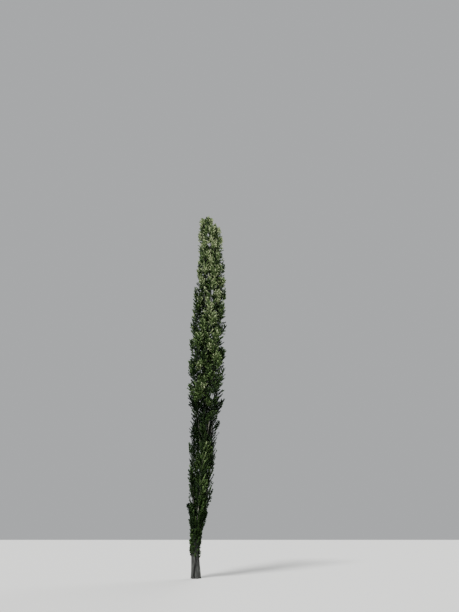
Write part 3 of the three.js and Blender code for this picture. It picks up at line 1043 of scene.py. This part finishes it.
class PoplarColours(PropertyGroup):
    """Colours of the bark, and of the leaves from painted shade in the depths to painted light at the
    tips.
    """

    # The bark's ridges: its own grey darkened by painted shade over the whole trunk
    bark_ridge: colour_setting(
        "Bark ridges", "Colour of the bark's weathered ridges", 0.047, 0.0485, 0.0455
    )
    # The fissures: partly the bark's own darker colour, partly painted shade in them
    bark_fissure: colour_setting(
        "Bark fissures", "Colour down in the bark's fissures", 0.004, 0.0045, 0.004
    )
    bough_bark: colour_setting("Bough bark", "Colour of the boughs' smoother bark", 0.17, 0.166, 0.14)
    # The stems' bark at half the boughs' brightness, as painted shade inside the crown
    stem_bark: colour_setting("Stem bark", "Colour of the plumes' shaded stems", 0.085, 0.083, 0.07)
    twig_bark: colour_setting("Twig bark", "Colour of the fine twigs", 0.03, 0.032, 0.016)
    # The darkest leaves, low down and inside the crown, as painted shade
    deepest_leaf: colour_setting(
        "Deepest leaves", "Colour of the leaves low down and inside", 0.005, 0.0134, 0.0042
    )
    middle_leaf: colour_setting("Middle leaves", "Colour of most of the leaves", 0.054, 0.1, 0.028)
    # The palest leaves, at the crown's tips and in its sunlit tufts, as painted light
    palest_leaf: colour_setting(
        "Palest leaves", "Colour of the leaves at the crown's tips", 0.47, 0.53, 0.31
    )


class PoplarStage(PropertyGroup):
    """Floor, light and camera."""

    floor_size: length_setting("Floor size", "Length of the floor's side", 400.0)
    floor_colour: colour_setting("Floor", "Colour of the pale floor", 0.62, 0.62, 0.6)
    sky_strength: strength_setting("Fill light", "Strength of the even light from all round", 0.55)
    key_strength: strength_setting("Key light", "Strength of the soft light from above", 4.8)
    eye_distance: length_setting(
        "Camera distance", "How far in front of the trunk the camera stands", -EYE[1]
    )
    eye_height: length_setting(
        "Camera height", "How high the camera stands above the ground", EYE[2]
    )
    eye_aside: length_setting(
        "Camera to the right", "How far to the right of the trunk the camera stands", EYE[0]
    )
    eye_pitch: angle_setting("Camera pitch", "How far the camera looks up from level", 38.5)


def add_node(tree, kind, inputs=None, **settings):
    """A node in a tree, with its settings, and its inputs given as values or as other sockets."""
    node = tree.nodes.new(kind)
    for name, value in settings.items():
        setattr(node, name, value)
    for key, value in (inputs or {}).items():
        if isinstance(value, bpy.types.NodeSocket):
            tree.links.new(value, node.inputs[key])
        else:
            node.inputs[key].default_value = value
    return node


def new_group(name, kind, inputs, outputs):
    """A node group with named inputs and outputs, and the sockets that bring its inputs in."""
    tree = bpy.data.node_groups.new(name, kind)
    for side, sockets in (("INPUT", inputs), ("OUTPUT", outputs)):
        for socket, value in sockets.items():
            tree.interface.new_socket(socket, in_out=side, socket_type=f"NodeSocket{value}")
    return tree, tree.nodes.new("NodeGroupInput").outputs


def calculated(tree, operation, first, second):
    """Two values added or multiplied."""
    return add_node(tree, "ShaderNodeMath", {0: first, 1: second}, operation=operation).outputs[0]


def noise(tree, place, scale, detail=2.0):
    inputs = {"Vector": place, "Scale": scale, "Detail": detail}
    return add_node(tree, "ShaderNodeTexNoise", inputs).outputs["Fac"]


def cells(tree, place, scale, feature="F1"):
    """Distances in a pattern of cells."""
    inputs = {"Vector": place, "Scale": scale}
    return add_node(tree, "ShaderNodeTexVoronoi", inputs, feature=feature).outputs["Distance"]


def ranged(tree, value, from_range, to_range):
    """A value carried from one range to another, and kept within it."""
    names = ("From Min", "From Max", "To Min", "To Max")
    inputs = {"Value": value, **dict(zip(names, (*from_range, *to_range)))}
    return add_node(tree, "ShaderNodeMapRange", inputs).outputs["Result"]


def mixed(tree, share, first, second, blend="MIX"):
    """Two colours mixed by a share, or the first multiplied by the second."""
    inputs = {MIX_SHARE: share, MIX_FIRST: first, MIX_SECOND: second}
    node = add_node(tree, "ShaderNodeMix", inputs, data_type="RGBA", blend_type=blend)
    return node.outputs[MIX_RESULT]


def ramp_of(tree, factor, stops):
    """Greys that follow a value, with a stop for each place and grey."""
    node = add_node(tree, "ShaderNodeValToRGB", {"Fac": factor})
    elements = node.color_ramp.elements
    for place, _ in stops[1:-1]:
        elements.new(place)
    for element, (place, grey) in zip(elements, stops):
        element.position = place
        element.color = (grey, grey, grey, 1)
    return node.outputs["Color"]


SURFACE = {"Colour": "Color", "Roughness": "Float", "Height": "Float"}


def leaf_mottle():
    """Shared by the leaves: patches and flecks of lighter and darker green, and a waxy unevenness."""
    inputs = {"Vector": "Vector", "Leaf": "Color", "Fleck": "Float"}
    tree, given = new_group("leaf_mottle", "ShaderNodeTree", inputs, SURFACE)
    patches = noise(tree, given["Vector"], scale=2.6, detail=3.0)
    flecks = noise(tree, given["Vector"], scale=34.0, detail=4.0)
    light = ranged(tree, patches, from_range=(0.3, 0.7), to_range=(0.72, 1.28))
    fleck = ranged(tree, flecks, from_range=(0.3, 0.7), to_range=(-0.5, 0.5))
    value = calculated(tree, "ADD", light, calculated(tree, "MULTIPLY", fleck, given["Fleck"]))
    leaf = add_node(tree, "ShaderNodeHueSaturation", {"Color": given["Leaf"], "Value": value})
    surface = {
        "Colour": leaf.outputs["Color"],
        "Roughness": ranged(tree, flecks, from_range=(0.25, 0.75), to_range=(0.42, 0.68)),
        "Height": cells(tree, given["Vector"], scale=160.0),
    }
    add_node(tree, "NodeGroupOutput", surface)
    return tree


def bark_weather():
    """Shared by trunk, boughs and twigs: upright streaks, grey bloom and a fine crackle."""
    inputs = {"Vector": "Vector", "Ridge": "Color", "Fissure": "Color", "Depth": "Float"}
    tree, given = new_group("bark_weather", "ShaderNodeTree", inputs, SURFACE)
    stretch = {"Vector": given["Vector"], "Scale": (1.0, 1.0, 0.16)}
    upright = add_node(tree, "ShaderNodeMapping", stretch).outputs[0]
    streaks = noise(tree, upright, scale=38.0, detail=6.0)
    bloom = noise(tree, upright, scale=10.0, detail=3.0)
    crackle = cells(tree, upright, scale=70.0, feature="DISTANCE_TO_EDGE")
    shade = ramp_of(tree, streaks, stops=((0.34, 0.5), (0.5, 1.0), (0.66, 1.45)))
    cloud = ramp_of(tree, bloom, stops=((0.4, 0.32), (0.6, 1.7)))
    # Darker by depth: in trunk fissures partly own colour, partly painted shade; in plain bark, grain
    bark = mixed(tree, given["Depth"], given["Ridge"], given["Fissure"])
    streaked = mixed(tree, 1.0, bark, shade, blend="MULTIPLY")
    edge = ranged(tree, crackle, from_range=(0.0, 0.25), to_range=(0.0, 0.6))
    surface = {
        "Colour": mixed(tree, 1.0, streaked, cloud, blend="MULTIPLY"),
        "Roughness": ranged(tree, streaks, from_range=(0.0, 1.0), to_range=(0.78, 0.98)),
        "Height": calculated(tree, "ADD", edge, streaks),
    }
    add_node(tree, "NodeGroupOutput", surface)
    return tree


def finished(name, make_group, values, bump, specular, attributes=None):
    """A material whose colour, roughness and bump come from a group that others share.

    The group's inputs are given as plain values, or as the names of the mesh's own attributes.
    """
    material = bpy.data.materials.new(name)
    material.use_nodes = True
    tree = material.node_tree
    tree.nodes.clear()
    group = bpy.data.node_groups.get(make_group.__name__) or make_group()
    inputs = {"Vector": tree.nodes.new("ShaderNodeTexCoord").outputs["Object"], **values}
    for socket, attribute in (attributes or {}).items():
        source = add_node(tree, "ShaderNodeAttribute", attribute_name=attribute)
        inputs[socket] = source.outputs["Fac"]
    surface = add_node(tree, "ShaderNodeGroup", inputs, node_tree=group).outputs
    relief = {"Height": surface["Height"], "Distance": bump, "Strength": BUMP_STRENGTH}
    looks = {
        "Base Color": surface["Colour"],
        "Roughness": surface["Roughness"],
        "Normal": add_node(tree, "ShaderNodeBump", relief).outputs["Normal"],
        "Specular IOR Level": specular,
    }
    shader = add_node(tree, "ShaderNodeBsdfPrincipled", looks)
    add_node(tree, "ShaderNodeOutputMaterial", {"Surface": shader.outputs["BSDF"]})
    return material


def leaf_tints(colours):
    """The tints' colours, from the deepest through the middle to the palest."""
    anchors = np.log((colours.deepest_leaf, colours.middle_leaf, colours.palest_leaf))
    places = np.linspace(0, 2, TINT_COUNT)
    channels = [np.interp(places, (0, 1, 2), anchors[:, channel]) for channel in range(3)]
    return np.exp(np.array(channels).T).tolist()


def leaf_material(name, colour):
    values = {"Leaf": (*colour, 1), "Fleck": LEAF_FLECKS}
    return finished(f"leaf_{name}", leaf_mottle, values, bump=0.002, specular=0.12)


def fissured_bark(name, ridge, fissure, bump):
    """Bark whose fissures come from the mesh's own relief, darker in them, partly as painted shade."""
    values = {"Ridge": (*ridge, 1), "Fissure": (*fissure, 1)}
    return finished(name, bark_weather, values, bump, specular=0.2, attributes={"Depth": "fissure"})


def plain_bark(name, colour, bump):
    """Smoother bark, a little darker in its grain."""
    darker = [PLAIN_FISSURE_SHADE * channel for channel in colour]
    values = {"Ridge": (*colour, 1), "Fissure": (*darker, 1), "Depth": PLAIN_FISSURE_DEPTH}
    return finished(name, bark_weather, values, bump, specular=0.25)


def placed(name, data, material=None):
    """An object in the scene, from a mesh, a lamp or a lens, and a mesh's material."""
    piece = bpy.data.objects.new(name, data)
    bpy.context.scene.collection.objects.link(piece)
    if material is not None:
        data.materials.append(material)
    return piece


def dressed(piece, slot, *starts):
    """Hands a finished piece to the frame, in place of the CAD nodes whose names start so."""
    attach(piece, "root")
    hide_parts(*[name for name in NODES if name.startswith(starts)])


def tubes_mesh(name, tubes):
    """Closed tubes through rings of points, with the bark's fissure depth at each point."""
    points, faces, depths = [], [], []
    for rings, depth in tubes:
        count, sides = rings.shape[:2]
        first = len(points)
        last = first + (count - 1) * sides
        foot, tip = last + sides, last + sides + 1
        row = first + np.arange(count - 1)[:, None] * sides
        side = np.arange(sides)
        after = (side + 1) % sides
        walls = np.stack((row + side, row + after, row + sides + after, row + sides + side), axis=-1)
        faces += walls.reshape(-1, 4).tolist()
        faces += [(foot, first + (i + 1) % sides, first + i) for i in range(sides)]
        faces += [(tip, last + i, last + (i + 1) % sides) for i in range(sides)]
        points += [*rings.reshape(-1, 3), rings[0].mean(0), rings[-1].mean(0)]
        depths += [*depth.ravel(), 0.0, 0.0]
    mesh = bpy.data.meshes.new(name)
    mesh.from_pydata(np.array(points).tolist(), [], faces)
    layer = mesh.attributes.new("fissure", "FLOAT", "POINT")
    layer.data.foreach_set("value", np.array(depths, np.float32))
    mesh.shade_smooth()
    return mesh


def fissures(turn, height, count):
    """0 on the bark's plates to 1 in its fissures, which cross in long upright lozenges."""
    wander = sum(
        size * np.sin(up * height + about * turn + start) for size, up, about, start in FISSURE_WAVES
    )
    climb, other_climb = FISSURE_CLIMBS
    one_set = np.abs(np.sin(0.5 * (count * turn + climb * height + wander)))
    crossing = count * turn + other_climb * height + FISSURE_CROSSING_WANDER * wander
    other_set = np.abs(np.sin(0.5 * (crossing + FISSURE_CROSSING)))
    groove = np.minimum(one_set, other_set)
    breaks = np.sin(FISSURE_BREAKS_UP * height + FISSURE_BREAKS_ROUND * turn + wander)
    broken = (1 - FISSURE_BREAKS) + FISSURE_BREAKS * breaks
    return np.clip(1 - groove / FISSURE_WIDTH, 0, 1) ** FISSURE_POWER * broken


def trunk_bark_mesh(sizes):
    """The trunk's own shape with its fissures sunk in, deepest near the ground."""
    low = np.linspace(0, CLOSE_RINGS_TO, CLOSE_RINGS)
    shares = np.linspace(0, 1, WIDE_RINGS)[1:]
    high = CLOSE_RINGS_TO + (TRUNK_TOP - CLOSE_RINGS_TO) * shares**WIDE_RING_POWER
    heights = np.concatenate((low, high))[:, None]
    turns = np.linspace(0, 2 * math.pi, BARK_SIDES, endpoint=False)[None, :]
    depth = fissures(turns, heights, sizes.fissures_round)
    fading = FISSURES_LEFT_HIGH + (1 - FISSURES_LEFT_HIGH) * np.exp(-heights / FISSURE_FADE_HEIGHT)
    thin = trunk_radius(heights) / TRUNK_RADIUS
    radius = trunk_radius(heights, turns) - sizes.fissure_depth * depth * fading * thin
    middle = trunk_axis(heights[:, 0])[:, None, :]
    across = np.stack((np.cos(turns), np.sin(turns), 0 * turns), axis=-1)
    return tubes_mesh("trunk_bark", [(middle + radius[..., None] * across, depth * fading)])


def bough_rings(plume):
    """Rings of points along a bough, knobbly where old twigs stood."""
    route = bough_route(plume)
    shares = np.linspace(0, 1, BOUGH_RINGS)
    at_root = BOUGH_ROOT_RADIUS * (1 - plume.foot / TREE_HEIGHT) ** BOUGH_THINNING
    radii = at_root + (BOUGH_TIP_RADIUS - at_root) * shares**BOUGH_TAPER_POWER
    turns = np.linspace(0, 2 * math.pi, BOUGH_SIDES, endpoint=False)
    rings = []
    for share, radius in zip(shares, radii):
        heading = route.heading(share)
        side = unit(np.array((1.0, 0.0, 0.0)) - heading * heading[0])
        across = np.cross(side, heading)
        waves = np.sin(KNOBS_ROUND * turns + KNOBS_ALONG * share + plume.index)
        spokes = np.cos(turns)[:, None] * side + np.sin(turns)[:, None] * across
        rings.append(route.at(share) + (radius * (1 - KNOB_DEPTH * (1 + waves)))[:, None] * spokes)
    return np.array(rings)


def leaf_mesh(sizes):
    """One leaf along +Z, broad near its stalk and drawn out to a point, folded along its rib."""
    length, half = sizes.leaf_length, sizes.leaf_width / 2
    fold, broadest = LEAF_FOLD * half, LEAF_BROADEST * length
    points = (
        (0.0, 0.0, 0.0),
        (-fold, -half, broadest),
        (-LEAF_DROOP * length, 0.0, length),
        (-fold, half, broadest),
        (0.0, 0.0, LEAF_RIB * length),
    )
    mesh = bpy.data.meshes.new("leaf")
    mesh.from_pydata(points, [], ((0, 4, 1), (0, 3, 4), (1, 4, 2), (4, 3, 2)))
    return mesh


def named_value(tree, name, kind="FLOAT"):
    node = add_node(tree, "GeometryNodeInputNamedAttribute", {"Name": name}, data_type=kind)
    return node.outputs["Attribute"]


def random_value(tree, low, high, seed):
    inputs = {RANDOM_LOW: low, RANDOM_HIGH: high, "Seed": seed}
    node = add_node(tree, "FunctionNodeRandomValue", inputs, data_type="FLOAT")
    return node.outputs[RANDOM_RESULT]


def turn_about(tree, rotation, axis, angle):
    """A rotation turned further about its own axis."""
    step = add_node(tree, "FunctionNodeAxisAngleToRotation", {"Axis": axis, "Angle": angle})
    inputs = {"Rotation": rotation, "Rotate By": step.outputs[0]}
    return add_node(tree, "FunctionNodeRotateRotation", inputs, rotation_space="LOCAL").outputs[0]


def geometry_group(name, inputs):
    """A geometry group, its inputs, and the curves that it makes of a mesh's edges."""
    shape = {"Geometry": "Geometry"}
    tree, given = new_group(name, "GeometryNodeTree", {**shape, **inputs}, shape)
    curves = add_node(tree, "GeometryNodeMeshToCurve", {"Mesh": given["Geometry"]}).outputs[0]
    return tree, given, curves


def made_real(tree, instances):
    return add_node(tree, "GeometryNodeRealizeInstances", {"Geometry": instances}).outputs[0]


def twig_tree():
    """Lines to closed twigs of their own thickness."""
    tree, given, curves = geometry_group("twigs_from_lines", {"Sides": "Int", "Bark": "Material"})
    ring = {"Resolution": given["Sides"], "Radius": 1.0}
    inputs = {
        "Curve": curves,
        "Profile Curve": add_node(tree, "GeometryNodeCurvePrimitiveCircle", ring).outputs[0],
        "Scale": named_value(tree, "thickness"),
        "Fill Caps": True,
    }
    tubes = add_node(tree, "GeometryNodeCurveToMesh", inputs).outputs[0]
    inputs = {"Geometry": made_real(tree, tubes), "Material": given["Bark"]}
    coloured = add_node(tree, "GeometryNodeSetMaterial", inputs).outputs[0]
    add_node(tree, "NodeGroupOutput", {"Geometry": coloured})
    return tree


def leaf_tree():
    """Leaves along lines, round them by the golden angle, each line's leaves in its own tint."""
    inputs = {"Leaf": "Object", "Spacing": "Float", "Slant": "Float", "Seed": "Int"}
    tints = {f"Tint {name}": "Material" for name in TINT_NAMES}
    tree, given, curves = geometry_group("leaves_on_lines", {**inputs, **tints})
    spaced = {"Curve": curves, "Length": given["Spacing"]}
    places = add_node(tree, "GeometryNodeCurveToPoints", spaced, mode="LENGTH").outputs
    flutter_seed = calculated(tree, "ADD", given["Seed"], 1.0)
    size_seed = calculated(tree, "ADD", given["Seed"], 2.0)

    index = tree.nodes.new("GeometryNodeInputIndex").outputs[0]
    golden = calculated(tree, "MULTIPLY", index, GOLDEN_TURN)
    own_lean = random_value(tree, -LEAF_LEAN_SPREAD, LEAF_LEAN_SPREAD, given["Seed"])
    lean = calculated(tree, "ADD", given["Slant"], own_lean)
    twist = random_value(tree, -LEAF_TWIST_SPREAD, LEAF_TWIST_SPREAD, flutter_seed)
    rotation = turn_about(tree, places["Rotation"], (0, 0, 1), golden)
    rotation = turn_about(tree, rotation, (0, 1, 0), lean)
    rotation = turn_about(tree, rotation, (0, 0, 1), twist)

    own_size = random_value(tree, *LEAF_SIZE_RANGE, size_seed)
    leaf = add_node(tree, "GeometryNodeObjectInfo", {"Object": given["Leaf"], "As Instance": True})
    inputs = {
        "Points": places["Points"],
        "Instance": leaf.outputs["Geometry"],
        "Rotation": rotation,
        "Scale": calculated(tree, "MULTIPLY", named_value(tree, "leaf_size"), own_size),
    }
    leaves = add_node(tree, "GeometryNodeInstanceOnPoints", inputs).outputs[0]
    geometry = made_real(tree, leaves)
    tint = named_value(tree, "tint", "INT")
    for number, name in enumerate(TINT_NAMES):
        chosen = {"Geometry": geometry, "Material": given[f"Tint {name}"]}
        if number:
            pair = {COMPARE_FIRST: tint, COMPARE_SECOND: number}
            same = add_node(tree, "FunctionNodeCompare", pair, data_type="INT", operation="EQUAL")
            chosen["Selection"] = same.outputs[0]
        geometry = add_node(tree, "GeometryNodeSetMaterial", chosen).outputs[0]
    add_node(tree, "NodeGroupOutput", {"Geometry": geometry})
    return tree


def grown_mesh(name, source, tree, values):
    """The plain mesh that a geometry tree makes of a source mesh."""
    carrier = placed(f"{name}_source", source)
    modifier = carrier.modifiers.new(name, "NODES")
    modifier.node_group = tree
    for item in tree.interface.items_tree:
        if item.in_out == "INPUT" and item.name in values:
            modifier[item.identifier] = values[item.name]
    bpy.context.view_layer.update()
    evaluated = carrier.evaluated_get(bpy.context.evaluated_depsgraph_get())
    mesh = bpy.data.meshes.new_from_object(evaluated)
    bpy.data.objects.remove(carrier)
    mesh.name = name
    if not len(mesh.polygons):
        raise RuntimeError(f"{name} came out empty")
    return mesh


class POPLAR_OT_trunk(Operator):
    """Makes the trunk's fissured bark"""

    bl_idname = "poplar.trunk"
    bl_label = "Trunk"

    def execute(self, context):
        colours = context.scene.poplar_colours
        bark = fissured_bark("fissured_bark", colours.bark_ridge, colours.bark_fissure, bump=0.006)
        mesh = trunk_bark_mesh(context.scene.poplar_sizes)
        dressed(placed("trunk_bark", mesh, bark), "bark", "trunk")
        return {"FINISHED"}


class POPLAR_OT_boughs(Operator):
    """Makes the steep boughs that carry the plumes"""

    bl_idname = "poplar.boughs"
    bl_label = "Boughs"

    def execute(self, context):
        bark = plain_bark("limb_bark", context.scene.poplar_colours.bough_bark, bump=0.004)
        boughs = [bough_rings(plume) for plume in Crown().tiers]
        mesh = tubes_mesh("bough_bark", [(rings, np.zeros(rings.shape[:2])) for rings in boughs])
        dressed(placed("bough_bark", mesh, bark), "bough_bark", "bough_")
        return {"FINISHED"}


class POPLAR_OT_foliage(Operator):
    """Grows the plumes' stems, twigs and leaves"""

    bl_idname = "poplar.foliage"
    bl_label = "Foliage"

    def execute(self, context):
        sizes, colours = context.scene.poplar_sizes, context.scene.poplar_colours
        bare, leafy = grown_lines(Crown())
        self.grow_stems(bare, colours)
        self.grow_leaves(leafy, sizes, colours)
        return {"FINISHED"}

    def grow_stems(self, bare, colours):
        values = {"Sides": STEM_SIDES, "Bark": plain_bark("stem_bark", colours.stem_bark, bump=0.002)}
        mesh = grown_mesh("plume_stems", bare.mesh("stem_lines"), twig_tree(), values)
        dressed(placed("plume_stems", mesh), "bough_bark", "foliage_")

    def grow_leaves(self, leafy, sizes, colours):
        bark = {"Sides": TWIG_SIDES, "Bark": plain_bark("twig_bark", colours.twig_bark, bump=0.001)}
        tints = zip(TINT_NAMES, leaf_tints(colours))
        values = {f"Tint {name}": leaf_material(name, tint) for name, tint in tints}
        leaf = placed("leaf", leaf_mesh(sizes), values[f"Tint {TINT_NAMES[0]}"])
        values.update({"Leaf": leaf, "Slant": sizes.leaf_slant, "Seed": sizes.leaf_seed})
        twigs, leaves = twig_tree(), leaf_tree()
        for piece, lines in leafy.items():
            values["Spacing"] = sizes.leaf_spacing * lines.leaf_size
            starts = [f"foliage_{tier}" for tier in LEAF_PIECES[piece]]
            mesh = grown_mesh(f"twigs_{piece}", lines.mesh("twig_lines"), twigs, bark)
            dressed(placed(f"twigs_{piece}", mesh), "bough_bark", *starts)
            mesh = grown_mesh(f"leaves_{piece}", lines.mesh("leaf_lines"), leaves, values)
            dressed(placed(f"leaves_{piece}", mesh), "foliage", *starts)
        bpy.data.objects.remove(leaf)


class POPLAR_OT_stage(Operator):
    """Makes the floor, the light and the camera"""

    bl_idname = "poplar.stage"
    bl_label = "Stage"

    def execute(self, context):
        stage = context.scene.poplar_stage
        self.lay_floor(stage)
        self.light(context.scene, stage)
        self.set_camera(context.scene, stage)
        return {"FINISHED"}

    def lay_floor(self, stage):
        half = stage.floor_size / 2
        corners = ((-half, -half, 0), (half, -half, 0), (half, half, 0), (-half, half, 0))
        mesh = bpy.data.meshes.new("floor")
        mesh.from_pydata(corners, [], ((0, 1, 2, 3),))
        material = bpy.data.materials.new("floor")
        material.use_nodes = True
        tree = material.node_tree
        shader = next(node for node in tree.nodes if node.type == "BSDF_PRINCIPLED")
        place = tree.nodes.new("ShaderNodeTexCoord").outputs["Object"]
        unevenness = noise(tree, place, scale=0.4)
        rough = ranged(tree, unevenness, from_range=(0.0, 1.0), to_range=(0.85, 0.95))
        tree.links.new(rough, shader.inputs["Roughness"])
        shader.inputs["Base Color"].default_value = (*stage.floor_colour, 1)
        placed("floor", mesh, material)

    def light(self, scene, stage):
        scene.world = bpy.data.worlds.new("studio")
        scene.world.use_nodes = True
        background = scene.world.node_tree.nodes["Background"]
        background.inputs["Color"].default_value = SKY_COLOUR
        background.inputs["Strength"].default_value = stage.sky_strength
        for name, share, turn, height, width in LAMPS:
            lamp = bpy.data.lights.new(name, "SUN")
            lamp.energy = stage.key_strength * share
            lamp.angle = math.radians(width)
            light = placed(name, lamp)
            light.rotation_euler = (math.radians(90 - height), 0, math.radians(turn))

    def set_camera(self, scene, stage):
        lens = bpy.data.cameras.new("camera")
        lens.sensor_width = SENSOR_WIDTH
        lens.lens = SENSOR_WIDTH * PHOTO_FOCAL / PHOTO_LONG_SIDE
        lens.clip_end = VIEW_DISTANCE
        camera = placed("camera", lens)
        camera.location = (stage.eye_aside, -stage.eye_distance, stage.eye_height)
        camera.rotation_euler = (math.radians(90) + stage.eye_pitch, 0, 0)
        scene.camera = camera


OPERATORS = (POPLAR_OT_trunk, POPLAR_OT_boughs, POPLAR_OT_foliage, POPLAR_OT_stage)
SETTINGS = {
    "poplar_sizes": PoplarSizes,
    "poplar_colours": PoplarColours,
    "poplar_stage": PoplarStage,
}


class POPLAR_PT_panel(Panel):
    """Lists the tree's pieces and their sizes and colours."""

    bl_label = "Lombardy poplar"
    bl_idname = "POPLAR_PT_panel"
    bl_space_type = "VIEW_3D"
    bl_region_type = "UI"
    bl_category = "Poplar"

    def draw(self, context):
        for operator in OPERATORS:
            self.layout.operator(operator.bl_idname)
        for group, kind in SETTINGS.items():
            box = self.layout.box()
            for name in kind.__annotations__:
                box.prop(getattr(context.scene, group), name)


CLASSES = (*SETTINGS.values(), *OPERATORS, POPLAR_PT_panel)


def register():
    for cls in CLASSES:
        bpy.utils.register_class(cls)
    for name, kind in SETTINGS.items():
        setattr(bpy.types.Scene, name, PointerProperty(type=kind))


def unregister():
    for name in SETTINGS:
        delattr(bpy.types.Scene, name)
    for cls in reversed(CLASSES):
        bpy.utils.unregister_class(cls)


def main():
    register()
    bpy.ops.poplar.trunk()
    bpy.ops.poplar.boughs()
    bpy.ops.poplar.foliage()
    bpy.ops.poplar.stage()


if __name__ == "__main__":
    main()
